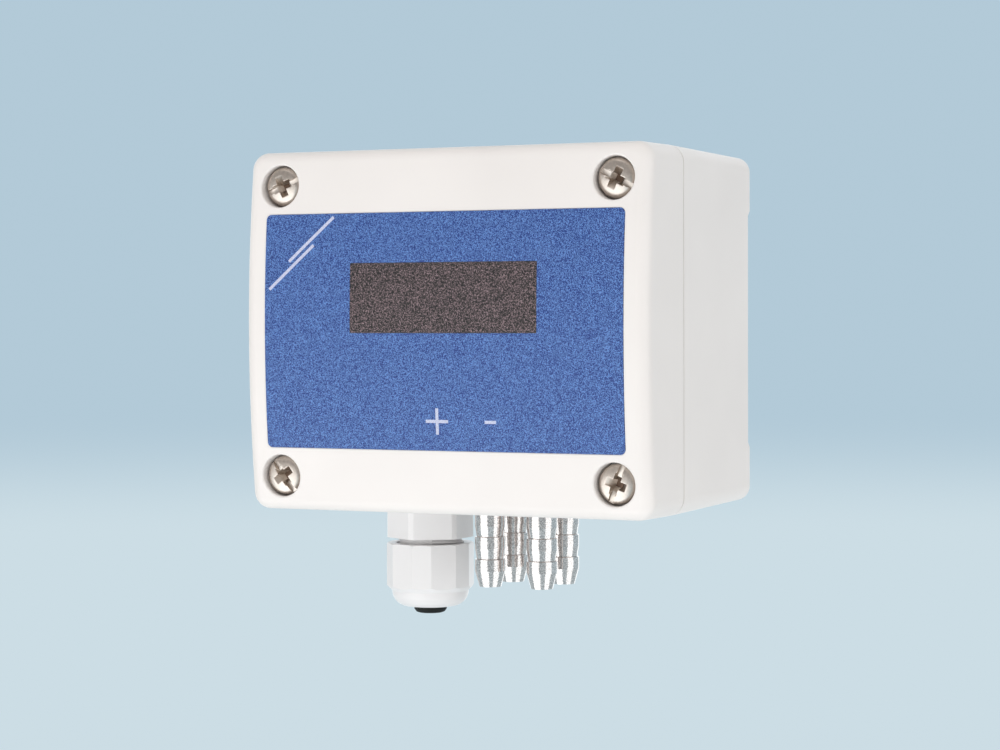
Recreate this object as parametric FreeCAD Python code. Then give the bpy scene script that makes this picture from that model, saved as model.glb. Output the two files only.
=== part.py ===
import FreeCAD, Part
import math
import os

# Differential pressure transmitter in a wall-mounted plastic case. Lengths are in millimetres.
# Origin: centre of the four wall holes, on the plane of the feet. +Y points into the wall, the
# front faces -Y, +X is to the right as seen from the front, and +Z is up.

# Case
case_width = 85.0
case_height = 70.0
base_depth = 38.4            # feet to parting plane
cover_edge_depth = 15.8      # parting plane to the cover's top and bottom front edges
arch_rise = 2.5              # how far the cover's middle stands in front of those edges
base_draft = 0.5             # taper per side from the parting plane to the feet
cover_draft = 0.15           # taper per side from the parting plane to the front
corner_radius = 3.5
front_rounding = 2.4
wall = 3.0
front_wall = 2.6
floor_thickness = 3.0
inner_corner_radius = 1.5
shadow_gap_depth = 0.4       # fine groove all round at the parting plane
shadow_gap_width = 0.35

# Feet at the four rear corners
foot_height = 1.5
foot_length_x = 22.5
foot_length_z = 12.25
foot_rounding = 0.6

# Cover screws and their columns
screw_inset_x = 7.35         # screw axis to the case's side
screw_inset_z = 6.85         # screw axis to the case's top or bottom
screw_thread = 3.9
screw_length = 20.0
screw_head = 7.6
screw_head_height = 3.1
screw_head_edge = 1.5        # height of the head's straight side under its dome
screw_clearance_hole = 4.5
counterbore = 8.2
counterbore_depth = 3.7      # below the arched front at the screw's centre
counterbore_rounding = 0.35
insert_diameter = 5.6
insert_length = 9.0
insert_bore = 4.0
insert_sink = 0.2
column_wall = 0.9
column_well_depth = 14.0     # depth of the blind hole for the insert and the screw's end

# Seal between base and cover
tongue_width = 1.0
tongue_height = 1.0
groove_width = 1.6
groove_depth = 2.4

# Wall fixing
wall_hole = 4.3
wall_hole_inset_x = 18.5
wall_hole_inset_z = 8.5
wall_boss = 8.0
wall_boss_height = 1.0

# Overlay film and display window
label_side_border = 4.85     # label's edge to the case's side
label_screw_gap = 1.45       # label's edge to the counterbores above and below it
label_radius = 1.0
label_thickness = 0.25
label_sink = 0.15
label_margin = 0.1
window_width = 39.3
window_height = 13.4
window_x = 0.7
window_z = 6.35
window_ledge = 1.2           # width of the ledge that carries the lens
window_ledge_thickness = 0.7
window_clearance = 0.05

# Cable gland
gland_inset_x = 22.2         # gland axis to the case's left side
gland_y = -20.0
gland_thread = 12.0
gland_hole = 12.2
gland_hex = 15.8
gland_hex_corner = 17.6      # round outline that trims the hexagon's corners
gland_hex_height = 6.4
gland_flat_seal_thickness = 1.0
gland_flat_seal_width = 1.7
gland_neck = 12.9            # core under the neck's thread
gland_neck_thread = 13.7     # crest of that thread
gland_neck_length = 7.5
gland_bore = 8.4
gland_thread_length = 9.5    # from the flat seal inwards
gland_locknut_hex = 15.0
gland_locknut_height = 4.0
gland_nut_gap = 1.1
gland_nut_diameter = 17.9
gland_nut_sides = 6          # wrench flats, with a narrower flat on each corner between them
gland_nut_flat_depth = 0.39  # how far each wrench flat cuts into the nut's round outline
gland_nut_corner_depth = 0.23
gland_nut_turn = 14.75       # direction of the first wrench flat, in degrees from +X
gland_nut_length = 13.0
gland_nut_flat_length = 8.7
gland_nut_shoulder = 1.1     # bevel between the flats and the dome
gland_nut_chamfer = 0.25
gland_nut_mouth = 7.1
gland_nut_mouth_land = 1.2   # length of the straight stretch of the nut's mouth
gland_thread_clearance = 0.08
gland_seal_bore = 4.2
gland_seal_clearance = 0.1
gland_seal_proud = 1.4
gland_seal_tip = 4.8
gland_seal_length = 17.0
gland_seal_cone = 2.5        # length over which the seal narrows towards the nut's mouth

# Hose nozzles
nozzle_x = (-0.55, 10.59)    # plus, minus
nozzle_y = {"front": -32.9, "rear": -22.2}
nozzle_collar = 7.2
nozzle_collar_height = 0.8
nozzle_neck = 5.2
nozzle_neck_length = 0.4
nozzle_barb = 6.04
nozzle_barb_root = 5.35
nozzle_barb_pitch = 4.45
nozzle_barb_count = 3
nozzle_barb_land = 2.3
nozzle_tip = 4.3
nozzle_last_barb = 5.4
nozzle_bore = 2.2
nozzle_shank = 5.0
nozzle_hole = 5.1
nozzle_shank_length = 7.0    # from the collar to the spigot
nozzle_nut_hex = 8.0
nozzle_nut_height = 3.0
nozzle_spigot = 3.2
nozzle_spigot_length = 6.0

# Boards
board_thickness = 1.6
board_side_gap = 2.5         # main board to the case's side walls
board_column_gap = 0.65      # main board to the screw columns
board_corner_radius = 1.5
standoff_height = 3.5
standoff_diameter = 7.0
spacer_inset = 4.0           # spacer axis to the main board's edges
spacer_hex = 5.5
spacer_thread = 3.0
spacer_stud_length = 5.0
spacer_tap_depth = 7.0
board_hole = 3.2
display_board_margin_x = 3.0 # spacer axis to the display board's sides
display_board_margin_z = 3.7
board_screw_head = 5.6
board_screw_head_height = 2.0
board_screw_length = 6.0
board_screw_chamfer = 0.6

# Pieces on the boards
digits_width = 38.0
digits_height = 12.8
digits_depth = 7.0
display_lens_gap = 1.6       # digits' face to the back of the display lens
digit_count = 4
digit_recess = 0.4
terminal_pitch = 2.75
terminal_end = 0.8
terminal_height = 10.0
terminal_depth = 10.0
terminal_spacer_gap = 1.15   # terminal block to the left spacers
terminal_tube_gap = 1.0      # least room between the terminal block and the plus tube
terminal_z = -12.5
terminal_entry = 1.9
terminal_slot = 1.0
chip_size = 10.0
chip_thickness = 1.4
chip_x = -24.0
chip_z = 7.0
capacitor_diameter = 6.3
capacitor_height = 8.0
capacitor_places = ((-12.0, 4.0), (-12.0, 13.0))
link_pin_count = 6
link_pitch = 2.54
link_pin = 0.64
link_bar = 2.5
link_socket_height = 8.5
link_pin_depth = 6.0
link_x = 5.0
link_edge = 1.6              # row of pins to the display board's upper edge
button_size = 6.0
button_base_height = 3.5
button_cap = 3.5
button_cap_proud = 1.5
button_cap_length = 2.5
button_clearance = 0.05
button_well_depth = 1.5
button_x = -27.0
button_z = -12.0

# Pressure sensors and their tubes
sensor_width = 20.0
sensor_height = 12.0
sensor_depth = 9.0
sensor_port = 3.2
sensor_port_length = 6.0
sensor_port_bore = 1.6
sensor_port_lift = 5.0       # height of the port's axis above the sensor's mounting face
sensor_rear_z = 11.0
sensor_front_x = 26.0
sensor_front_z = -2.6
tube_diameter = 5.0
tube_end_gap = 0.5
tube_rise = 13.0             # straight run up from a rear or the front plus nozzle
tube_rise_minus = 8.0        # the same at the front minus nozzle
tube_run_in = 12.0           # straight run into a rear sensor port
tube_front_set = 3.0         # how far the front tubes come forward on their way up

# Worked out from the sizes above
parting_y = -base_depth
edge_y = parting_y - cover_edge_depth
crown_y = edge_y - arch_rise
arch_radius = ((case_height / 2) ** 2 + arch_rise ** 2) / (2 * arch_rise)
floor_y = -(foot_height + floor_thickness)
inner_x = case_width / 2 - wall
inner_z = case_height / 2 - wall
bottom_z = -case_height / 2
screw_x = case_width / 2 - screw_inset_x
screw_z = case_height / 2 - screw_inset_z
column_reach = wall / 2 + groove_width / 2 + column_wall + insert_diameter / 2
column_x = screw_x - column_reach
column_z = screw_z - column_reach
nozzle_pitch_x = nozzle_x[1] - nozzle_x[0]
gland_x = gland_inset_x - case_width / 2
wall_hole_x = case_width / 2 - wall_hole_inset_x
wall_hole_z = case_height / 2 - wall_hole_inset_z
foot_gap_width = case_width - 2 * foot_length_x
foot_gap_height = case_height - 2 * foot_length_z
label_width = case_width - 2 * label_side_border
label_height = 2 * (screw_z - counterbore / 2 - label_screw_gap)
main_board_width = 2 * (inner_x - board_side_gap)
main_board_height = 2 * (column_z - board_column_gap)
spacer_x = main_board_width / 2 - spacer_inset
spacer_z = main_board_height / 2 - spacer_inset
display_board_width = 2 * (spacer_x + display_board_margin_x)
display_board_height = 2 * (spacer_z + display_board_margin_z)
main_back_y = floor_y - standoff_height
main_front_y = main_back_y - board_thickness
lens_back_y = crown_y + front_wall - window_ledge_thickness
display_front_y = lens_back_y + display_lens_gap + digits_depth
display_back_y = display_front_y + board_thickness
spacer_length = main_front_y - display_back_y
link_z = display_board_height / 2 - link_edge
terminal_left = spacer_hex / 2 + terminal_spacer_gap - spacer_x
terminal_room = nozzle_x[0] - tube_diameter / 2 - terminal_tube_gap - terminal_left
terminal_ways = int((terminal_room - 2 * terminal_end) / terminal_pitch)
terminal_width = terminal_ways * terminal_pitch + 2 * terminal_end
terminal_x = terminal_left + terminal_width / 2
along_x = FreeCAD.Vector(1, 0, 0)
along_y = FreeCAD.Vector(0, 1, 0)
along_z = FreeCAD.Vector(0, 0, 1)
forwards = FreeCAD.Vector(0, -1, 0)
corners = {
    "top_left": (-1, 1),
    "top_right": (1, 1),
    "bottom_left": (-1, -1),
    "bottom_right": (1, -1),
}


def box(x0, x1, y0, y1, z0, z1):
    return Part.makeBox(x1 - x0, y1 - y0, z1 - z0, FreeCAD.Vector(x0, y0, z0))


def rod(diameter, start, direction, length):
    return Part.makeCylinder(diameter / 2, length, FreeCAD.Vector(*start), direction)


def fuse_all(shapes):
    return shapes[0].fuse(shapes[1:]).removeSplitter()


def rounded_wire(width, height, radius, y, x=0.0, z=0.0):
    # Rounded rectangle in the plane at y, centred on x and z.
    half_w = width / 2
    half_h = height / 2
    bend = radius * (1 - math.sqrt(0.5))
    edges = []
    for sx, sz in ((1, 1), (-1, 1), (-1, -1), (1, -1)):
        start = FreeCAD.Vector(x + sx * half_w, y, z + sz * (half_h - radius))
        middle = FreeCAD.Vector(x + sx * (half_w - bend), y, z + sz * (half_h - bend))
        end = FreeCAD.Vector(x + sx * (half_w - radius), y, z + sz * half_h)
        if sx * sz < 0:
            start, end = end, start
        edges.append(Part.Arc(start, middle, end).toShape())
    sides = []
    for first, second in zip(edges, edges[1:] + edges[:1]):
        sides.append(Part.makeLine(first.lastVertex().Point, second.firstVertex().Point))
    ring = [edge for pair in zip(edges, sides) for edge in pair]
    return Part.Wire(ring)


def plate(width, height, radius, y_back, thickness, x=0.0, z=0.0):
    # Rounded plate whose back lies at y_back and which is thickness deep towards the front.
    face = Part.Face(rounded_wire(width, height, radius, y_back, x, z))
    return face.extrude(forwards * thickness)


def hexagon(across_flats, start, length, turn=0.0):
    # Hexagonal prism along +Z, with flats facing +X and -X when turn is 0.
    radius = across_flats / math.sqrt(3)
    points = []
    for i in range(7):
        angle = math.radians(30 + 60 * i + turn)
        points.append(FreeCAD.Vector(radius * math.cos(angle), radius * math.sin(angle), 0))
    prism = Part.Face(Part.makePolygon(points)).extrude(along_z * length)
    prism.translate(FreeCAD.Vector(*start))
    return prism


def turned(profile, x, y):
    # Solid turned about the vertical axis through x and y, from (radius, z) points.
    points = [FreeCAD.Vector(r, 0, z) for r, z in profile]
    face = Part.Face(Part.makePolygon(points + points[:1]))
    solid = face.revolve(FreeCAD.Vector(0, 0, 0), along_z, 360)
    solid.translate(FreeCAD.Vector(x, y, 0))
    return solid


def arch(radius_change=0.0):
    # Everything behind the cover's arched front, moved outwards by radius_change.
    radius = arch_radius + radius_change
    start = (-case_width, crown_y + arch_radius, 0)
    return rod(2 * radius, start, along_x, 2 * case_width)


def drafted_case(y_end, inset):
    # Outside of the case from the parting plane to y_end, where it is smaller by inset a side.
    ends = [rounded_wire(case_width, case_height, corner_radius, parting_y)]
    ends.append(
        rounded_wire(case_width - 2 * inset, case_height - 2 * inset, corner_radius - inset, y_end)
    )
    return Part.makeLoft(ends, True, True)


def cavity(y_from, y_to):
    # Sealed space of the case, which steps inwards round the four screw columns.
    space = box(-inner_x, inner_x, y_from, y_to, -inner_z, inner_z)
    blocks = []
    for sx, sz in corners.values():
        x0, x1 = sorted((sx * column_x, sx * case_width))
        z0, z1 = sorted((sz * column_z, sz * case_height))
        blocks.append(box(x0, x1, y_from, y_to, z0, z1))
    space = space.cut(blocks)
    upright = [edge for edge in space.Edges if abs(edge.BoundBox.YLength - (y_to - y_from)) < 1e-6]
    return space.makeFillet(inner_corner_radius, upright)


def rim_ring(width, y_back, height):
    # Ring of the given width on the middle line of the rim, from y_back towards the front.
    flat = cavity(y_back - 1, y_back)
    outline = max(
        (face for face in flat.Faces if abs(face.CenterOfMass.y - y_back) < 1e-6),
        key=lambda face: face.Area,
    ).OuterWire
    outer = Part.Face(outline.makeOffset2D(wall / 2 + width / 2))
    inner = Part.Face(outline.makeOffset2D(wall / 2 - width / 2))
    return outer.cut(inner).extrude(forwards * height)


def gland_axis_rod(diameter, z, length):
    return rod(diameter, (gland_x, gland_y, z), along_z, length)


def nozzle_places():
    # Name, x and y of each hose nozzle.
    places = []
    for row, y in nozzle_y.items():
        for sign, x in zip(("plus", "minus"), nozzle_x):
            places.append((sign + "_" + row, x, y))
    return places


def rear_housing():
    body = drafted_case(0.0, base_draft)
    edges = [edge for edge in body.Edges if abs(edge.BoundBox.YMax) < 1e-6 and edge.BoundBox.YLength < 1e-6]
    body = body.makeFillet(foot_rounding, edges)
    body = body.cut(foot_gaps())
    body = body.cut(cavity(parting_y, floor_y))
    body = body.fuse(seat_pad())
    body = body.fuse(standoffs() + wall_bosses())
    body = body.fuse(rim_ring(tongue_width, parting_y, tongue_height))
    return body.cut(housing_holes())


def foot_gaps():
    # Shallow channels across the back, with sloping ends, that leave the four corner feet.
    gaps = []
    for size, turn in ((foot_gap_height, 0), (foot_gap_width, 90)):
        half = size / 2
        points = [
            FreeCAD.Vector(-case_width, 0, -half - foot_height),
            FreeCAD.Vector(-case_width, 0, half + foot_height),
            FreeCAD.Vector(-case_width, -foot_height, half),
            FreeCAD.Vector(-case_width, -foot_height, -half),
        ]
        gap = Part.Face(Part.makePolygon(points + points[:1])).extrude(along_x * (2 * case_width))
        gap.rotate(FreeCAD.Vector(0, 0, 0), along_y, turn)
        gaps.append(gap)
    return gaps


def seat_pad():
    # Level face under the case for the gland and the nozzles, since the tapered wall slopes.
    margin = 2.0
    x0 = gland_x - gland_hex_corner / 2 - margin
    x1 = nozzle_x[1] + nozzle_collar / 2 + margin
    y1 = gland_y + gland_hex_corner / 2 + margin
    return box(x0, x1, parting_y, y1, bottom_z, bottom_z + wall / 2)


def standoffs():
    # Posts on the floor under the four corners of the main board.
    posts = []
    for sx, sz in corners.values():
        start = (sx * spacer_x, floor_y, sz * spacer_z)
        posts.append(rod(standoff_diameter, start, forwards, standoff_height))
    return posts


def wall_bosses():
    bosses = []
    for sx, sz in corners.values():
        start = (sx * wall_hole_x, floor_y, sz * wall_hole_z)
        bosses.append(rod(wall_boss, start, forwards, wall_boss_height))
    return bosses


def housing_holes():
    holes = [gland_axis_rod(gland_hole, bottom_z - wall, 3 * wall)]
    for name, x, y in nozzle_places():
        holes.append(rod(nozzle_hole, (x, y, bottom_z - wall), along_z, 3 * wall))
    for sx, sz in corners.values():
        hole_x = sx * wall_hole_x
        hole_z = sz * wall_hole_z
        deep = floor_thickness + foot_height + wall_boss_height + 2
        holes.append(rod(wall_hole, (hole_x, 1, hole_z), forwards, deep))
        column = (sx * screw_x, parting_y, sz * screw_z)
        holes.append(rod(insert_diameter, column, along_y, insert_sink + insert_length))
        holes.append(rod(insert_bore, column, along_y, column_well_depth))
        tap = (sx * spacer_x, main_back_y, sz * spacer_z)
        holes.append(rod(spacer_thread, tap, along_y, spacer_stud_length - board_thickness + 0.5))
    return holes


def column_insert(sx, sz):
    # Threaded bush pressed into a screw column, with a groove round its middle.
    start = (sx * screw_x, parting_y + insert_sink, sz * screw_z)
    bush = rod(insert_diameter, start, along_y, insert_length)
    groove_start = (sx * screw_x, parting_y + insert_sink + 0.45 * insert_length, sz * screw_z)
    waist = rod(insert_diameter + 1, groove_start, along_y, 0.1 * insert_length)
    waist = waist.cut(rod(insert_diameter - 0.8, groove_start, along_y, 0.1 * insert_length))
    return bush.cut([waist, rod(insert_bore, start, along_y, insert_length)])


def front_cover():
    deep = cover_edge_depth + arch_rise + 1
    inset = cover_draft * deep / cover_edge_depth
    body = drafted_case(parting_y - deep, inset).common(arch())
    edges = [edge for edge in body.Edges if edge.BoundBox.YMax < edge_y + 0.5]
    body = body.makeFillet(front_rounding, edges)
    body = body.cut(label_recess())
    body = body.cut(cavity(crown_y, parting_y).common(arch(-front_wall)))
    body = body.cut(rim_ring(groove_width, parting_y, groove_depth))
    body = body.cut(shadow_gap())
    body = body.cut(window_hole())
    body = body.cut(cover_screw_holes())
    rims = [edge for edge in body.Edges if is_counterbore_rim(edge)]
    return body.makeFillet(counterbore_rounding, rims)


def label_recess():
    outline = plate(
        label_width + 2 * label_margin,
        label_height + 2 * label_margin,
        label_radius + label_margin,
        edge_y + 2 * arch_rise,
        4 * arch_rise,
    )
    return outline.cut(arch(-label_sink))


def shadow_gap():
    outer = box(-case_width, case_width, parting_y - shadow_gap_width, parting_y, -case_height, case_height)
    inner = plate(
        case_width - 2 * shadow_gap_depth,
        case_height - 2 * shadow_gap_depth,
        corner_radius - shadow_gap_depth,
        parting_y,
        shadow_gap_width,
    )
    return outer.cut(inner)


def window_hole():
    through = plate(
        window_width - 2 * window_ledge,
        window_height - 2 * window_ledge,
        label_radius / 2,
        parting_y,
        2 * cover_edge_depth,
        window_x,
        window_z,
    )
    seat = plate(
        window_width,
        window_height,
        label_radius / 4,
        lens_back_y,
        2 * front_wall,
        window_x,
        window_z,
    )
    return [through, seat]


def cover_screw_holes():
    holes = []
    for sx, sz in corners.values():
        front = (sx * screw_x, crown_y - 1, sz * screw_z)
        holes.append(rod(counterbore, front, along_y, screw_seat_y() - crown_y + 1))
        holes.append(rod(screw_clearance_hole, front, along_y, case_height))
    return holes


def front_y_at(z):
    # The cover's arched front at height z.
    return crown_y + arch_radius - math.sqrt(arch_radius ** 2 - z ** 2)


def screw_seat_y():
    return front_y_at(screw_z) + counterbore_depth


def is_counterbore_rim(edge):
    middle = edge.BoundBox.Center
    off = math.hypot(abs(middle.x) - screw_x, abs(middle.z) - screw_z)
    size = edge.BoundBox.XLength
    return off < 0.1 and abs(size - counterbore) < 0.1 and edge.BoundBox.YMax < screw_seat_y() - 1


def cover_gasket():
    return rim_ring(groove_width, parting_y - tongue_height, groove_depth - tongue_height)


def front_label():
    back = edge_y + 2 * arch_rise
    depth = 4 * arch_rise
    blank = plate(label_width, label_height, label_radius, back, depth)
    window = plate(window_width, window_height, label_radius / 4, back, depth, window_x, window_z)
    film = blank.common(arch(label_thickness - label_sink)).cut(arch(-label_sink))
    return film.cut(window)


def display_window():
    lens = plate(
        window_width - 2 * window_clearance,
        window_height - 2 * window_clearance,
        label_radius / 4,
        lens_back_y,
        2 * front_wall,
        window_x,
        window_z,
    )
    return lens.common(arch(label_thickness - label_sink))


def cover_screw(sx, sz):
    # Pan head with a straight edge and a dome, on a plain shank.
    x = sx * screw_x
    z = sz * screw_z
    seat = screw_seat_y()
    rise = screw_head_height - screw_head_edge
    radius = ((screw_head / 2) ** 2 + rise ** 2) / (2 * rise)
    ball = Part.makeSphere(radius, FreeCAD.Vector(x, seat - screw_head_height + radius, z))
    head = rod(screw_head, (x, seat, z), forwards, screw_head_height).common(ball)
    shank = rod(screw_thread, (x, seat, z), along_y, screw_length)
    tip = [edge for edge in shank.Edges if abs(edge.BoundBox.YMin - (seat + screw_length)) < 1e-6]
    return head.fuse(shank.makeChamfer(screw_thread / 8, tip)).removeSplitter()


def gland_flat_seal():
    outside = gland_hole + 2 * gland_flat_seal_width
    ring = gland_axis_rod(outside, bottom_z - gland_flat_seal_thickness, gland_flat_seal_thickness)
    return ring.cut(gland_axis_rod(gland_thread, bottom_z - wall, 2 * wall))


def gland_body():
    # Hexagon outside the case, thread through its wall, and the neck that the cap nut runs on.
    top = bottom_z - gland_flat_seal_thickness
    under = top - gland_hex_height
    hex_block = hexagon(gland_hex, (gland_x, gland_y, under), gland_hex_height)
    hex_block = hex_block.common(gland_axis_rod(gland_hex_corner, under, gland_hex_height))
    thread = gland_axis_rod(gland_thread, top, gland_thread_length)
    neck = gland_axis_rod(gland_neck, under - gland_neck_length, gland_neck_length)
    body = fuse_all([hex_block, thread, neck])
    length = gland_thread_length + gland_hex_height + gland_neck_length
    body = body.cut(gland_axis_rod(gland_bore, under - gland_neck_length, length))
    ends = [edge for edge in body.Edges if is_gland_thread_end(edge, top)]
    return body.makeChamfer(0.6, ends)


def is_gland_thread_end(edge, top):
    size = edge.BoundBox.XLength
    at_top = abs(edge.BoundBox.ZMin - (top + gland_thread_length)) < 1e-6
    return at_top and abs(size - gland_thread) < 0.01


def gland_locknut():
    nut = hexagon(gland_locknut_hex, (gland_x, gland_y, bottom_z + wall), gland_locknut_height)
    return nut.cut(gland_axis_rod(gland_thread, bottom_z + wall, gland_locknut_height))


def gland_nut_top():
    return bottom_z - gland_flat_seal_thickness - gland_hex_height - gland_nut_gap


def gland_cap_nut():
    # Domed nut with shallow flats round it, open at both ends.
    top = gland_nut_top()
    low = top - gland_nut_length
    radius = gland_nut_diameter / 2
    dome = gland_nut_length - gland_nut_flat_length - gland_nut_shoulder
    outline = gland_nut_outline(radius, gland_nut_mouth / 2, top, low, dome)
    shell = Part.Face(outline).revolve(FreeCAD.Vector(0, 0, 0), along_z, 360)
    flats = []
    for i in range(2 * gland_nut_sides):
        depth = gland_nut_corner_depth if i % 2 else gland_nut_flat_depth
        flat = box(radius - depth, 2 * radius, -radius, radius, low + dome, top)
        flat.rotate(FreeCAD.Vector(0, 0, 0), along_z, gland_nut_turn + i * 180 / gland_nut_sides)
        flats.append(flat)
    shell = shell.cut(flats)
    shell.translate(FreeCAD.Vector(gland_x, gland_y, 0))
    return shell


def gland_nut_outline(radius, mouth, top, low, dome):
    # Half section of the cap nut: the inside from the mouth up, then the outside down to the dome.
    bore = gland_neck_thread / 2 + gland_thread_clearance
    shoulder = radius - gland_nut_shoulder
    land = low + gland_nut_mouth_land
    neck_end = bottom_z - gland_flat_seal_thickness - gland_hex_height - gland_neck_length
    flare = neck_end - gland_seal_cone
    outline = [
        (mouth, low),
        (mouth, land),
        (gland_bore / 2 + gland_seal_clearance, flare),
        (bore, neck_end - 0.5),
        (bore, top),
        (radius - gland_nut_chamfer, top),
        (radius, top - gland_nut_chamfer),
        (radius, low + dome + gland_nut_shoulder),
        (shoulder, low + dome),
    ]
    points = [FreeCAD.Vector(r, 0, z) for r, z in outline]
    edges = [Part.makeLine(a, b) for a, b in zip(points, points[1:])]
    bend = dome * math.sqrt(0.5)
    middle = FreeCAD.Vector(shoulder - dome + bend, 0, low + dome - bend)
    under = FreeCAD.Vector(shoulder - dome, 0, low)
    edges.append(Part.Arc(points[-1], middle, under).toShape())
    edges.append(Part.makeLine(under, points[0]))
    return Part.Wire(edges)


def gland_seal():
    # Rubber sleeve inside the gland. Its rounded end shows in the cap nut's mouth.
    low = gland_nut_top() - gland_nut_length
    tip = low - gland_seal_proud
    mouth = gland_nut_mouth / 2 - gland_seal_clearance
    neck_end = bottom_z - gland_flat_seal_thickness - gland_hex_height - gland_neck_length
    land = low + gland_nut_mouth_land
    profile = [(gland_seal_bore / 2, tip)]
    for degrees in (0, 30, 60, 90):
        bulge = math.radians(degrees)
        r = gland_seal_tip / 2 + (mouth - gland_seal_tip / 2) * math.sin(bulge)
        profile.append((r, low - gland_seal_proud * math.cos(bulge)))
    profile += [
        (mouth, land),
        (gland_bore / 2, neck_end - gland_seal_cone),
        (gland_bore / 2, tip + gland_seal_length),
        (gland_seal_bore / 2, tip + gland_seal_length),
    ]
    return turned(profile, gland_x, gland_y)


def hose_nozzle(x, y):
    # Turned nozzle: three barbs outside, a collar on the case, and a spigot inside.
    wall_side = bottom_z - nozzle_collar_height
    barb_top = wall_side - nozzle_neck_length
    big = nozzle_barb / 2
    profile = [
        (nozzle_bore / 2, nozzle_spigot_top()),
        (nozzle_spigot / 2, nozzle_spigot_top()),
        (nozzle_spigot / 2, nozzle_shank_top()),
        (nozzle_shank / 2, nozzle_shank_top()),
        (nozzle_shank / 2, bottom_z),
        (nozzle_collar / 2, bottom_z),
        (nozzle_collar / 2, wall_side),
        (nozzle_neck / 2, wall_side),
        (nozzle_neck / 2, barb_top),
    ]
    for i in range(nozzle_barb_count):
        z = barb_top - i * nozzle_barb_pitch
        last = i == nozzle_barb_count - 1
        end = z - (nozzle_last_barb if last else nozzle_barb_pitch)
        small = nozzle_tip / 2 if last else nozzle_barb_root / 2
        profile += [(big, z), (big, z - nozzle_barb_land), (small, end)]
    profile.append((nozzle_bore / 2, end))
    return turned(profile, x, y)


def nozzle_shank_top():
    return bottom_z + nozzle_shank_length


def nozzle_spigot_top():
    return nozzle_shank_top() + nozzle_spigot_length


def nozzle_nut(x, y):
    nut = hexagon(nozzle_nut_hex, (x, y, bottom_z + wall), nozzle_nut_height)
    return nut.cut(rod(nozzle_shank, (x, y, bottom_z + wall), along_z, nozzle_nut_height))


def board(width, height, y_back):
    flat = plate(width, height, board_corner_radius, y_back, board_thickness)
    holes = []
    for sx, sz in corners.values():
        start = (sx * spacer_x, y_back + 1, sz * spacer_z)
        holes.append(rod(board_hole, start, forwards, board_thickness + 2))
    return flat.cut(holes)


def main_board():
    return board(main_board_width, main_board_height, main_back_y)


def display_board():
    flat = board(display_board_width, display_board_height, display_back_y)
    return flat.cut(link_pins_only(1.1))


def board_spacer(sx, sz):
    # Hexagonal pillar from the main board to the display board. Its stud holds the main board down.
    x = sx * spacer_x
    z = sz * spacer_z
    pillar = hexagon(spacer_hex, (0, 0, 0), spacer_length)
    pillar.rotate(FreeCAD.Vector(0, 0, 0), along_x, 90)
    pillar.translate(FreeCAD.Vector(x, main_front_y, z))
    stud = rod(spacer_thread, (x, main_front_y, z), along_y, spacer_stud_length)
    tap = rod(spacer_thread, (x, display_back_y, z), along_y, spacer_tap_depth)
    return pillar.fuse(stud).cut(tap).removeSplitter()


def display_board_screws():
    screws = []
    for sx, sz in corners.values():
        start = (sx * spacer_x, display_front_y, sz * spacer_z)
        head = rod(board_screw_head, start, forwards, board_screw_head_height)
        crown = [edge for edge in head.Edges if edge.BoundBox.YMax < display_front_y - 1]
        head = head.makeChamfer(board_screw_chamfer, crown)
        shank = rod(spacer_thread, start, along_y, board_screw_length)
        screws.append(head.fuse(shank).removeSplitter())
    return Part.makeCompound(screws)


def digit_display():
    # Four-digit module. Each digit is a shallow recess in the face.
    module = plate(digits_width, digits_height, 0.3, display_front_y, digits_depth, window_x, window_z)
    face_y = display_front_y - digits_depth
    pitch = digits_width / digit_count
    cuts = []
    for i in range(digit_count):
        x = window_x + (i - (digit_count - 1) / 2) * pitch
        cuts.append(plate(0.75 * pitch, 0.8 * digits_height, 0.3, face_y + digit_recess, 1.0, x, window_z))
    return module.cut(cuts)


def terminal_block():
    # Spring-clamp terminals: wire entries underneath, release slots in front.
    front = main_front_y - terminal_depth
    low = terminal_z - terminal_height / 2
    body = plate(terminal_width, terminal_height, 0.3, main_front_y, terminal_depth, terminal_x, terminal_z)
    cuts = [
        box(
            terminal_x - terminal_width,
            terminal_x + terminal_width,
            front - 1,
            front + 0.35 * terminal_depth,
            terminal_z + 0.15 * terminal_height,
            terminal_z + terminal_height,
        )
    ]
    for i in range(terminal_ways):
        x = terminal_x + (i - (terminal_ways - 1) / 2) * terminal_pitch
        half = terminal_entry / 2
        middle = main_front_y - 0.45 * terminal_depth
        deep = low + 0.6 * terminal_height
        cuts.append(box(x - half, x + half, middle - half, middle + half, low - 1, deep))
        slot = terminal_slot / 2
        cuts.append(box(x - half, x + half, front - 1, front + 2.5, terminal_z - slot, terminal_z + slot))
    return body.cut(cuts)


def microcontroller():
    chip = plate(chip_size, chip_size, 0.2, main_front_y, chip_thickness, chip_x, chip_z)
    start = (chip_x - 0.35 * chip_size, main_front_y - chip_thickness + 0.1, chip_z + 0.35 * chip_size)
    mark = rod(1.0, start, forwards, 1)
    return chip.cut(mark)


def smoothing_capacitors():
    cans = []
    for x, z in capacitor_places:
        can = rod(capacitor_diameter, (x, main_front_y, z), forwards, capacitor_height)
        top = [edge for edge in can.Edges if edge.BoundBox.YMax < main_front_y - 1]
        can = can.makeChamfer(0.5, top)
        waist = rod(capacitor_diameter + 1, (x, main_front_y - 1.2, z), forwards, 0.6)
        waist = waist.cut(rod(capacitor_diameter - 0.6, (x, main_front_y - 1.2, z), forwards, 0.6))
        cans.append(can.cut(waist))
    return Part.makeCompound(cans)


def link_positions():
    return [link_x + (i - (link_pin_count - 1) / 2) * link_pitch for i in range(link_pin_count)]


def link_pins_only(thickness):
    # Square pins that run from inside the socket through the display board.
    start = main_front_y - link_socket_height + link_pin_depth
    end = display_front_y - 1.0
    half = thickness / 2
    return [box(x - half, x + half, end, start, link_z - half, link_z + half) for x in link_positions()]


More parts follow.
